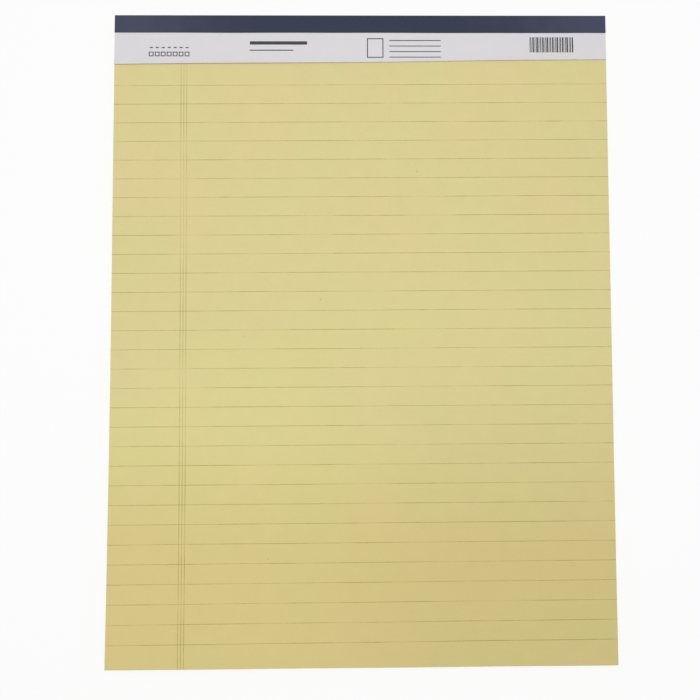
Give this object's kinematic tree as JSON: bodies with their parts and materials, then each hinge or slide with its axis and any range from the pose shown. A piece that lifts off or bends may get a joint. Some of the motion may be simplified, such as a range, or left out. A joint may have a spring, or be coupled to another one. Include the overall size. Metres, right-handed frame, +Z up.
{
  "type": "writing pad",
  "caption": "Flat rectangular pad of yellow ruled sheets on a stiff board, bound along the head by a folded dark tape over a white header strip, for handwriting and tearing off sheets.",
  "frame": {"origin": "middle of the underside", "axes": "+X across the sheets to the right, +Y along the sheets to the bound head, +Z up out of the top sheet"},
  "size_m": [0.215, 0.28, 0.006],
  "materials": {
    "sheet_paper": "matte, uncoated, pale yellow",
    "board": "matte grey chipboard with flecks",
    "strip_paper": "smooth white printing paper",
    "tape_paper": "dark navy, fine grain, slight sheen",
    "glue": "cream, dried padding glue",
    "ink": "thin printed ink"
  },
  "bodies": {
    "root": {"page_block": "sheet_paper", "back_board": "board", "header_strip": "strip_paper", "binding_tape": "tape_paper", "padding_glue": "glue", "printed_ruling": "ink"}
  },
  "joints": []
}
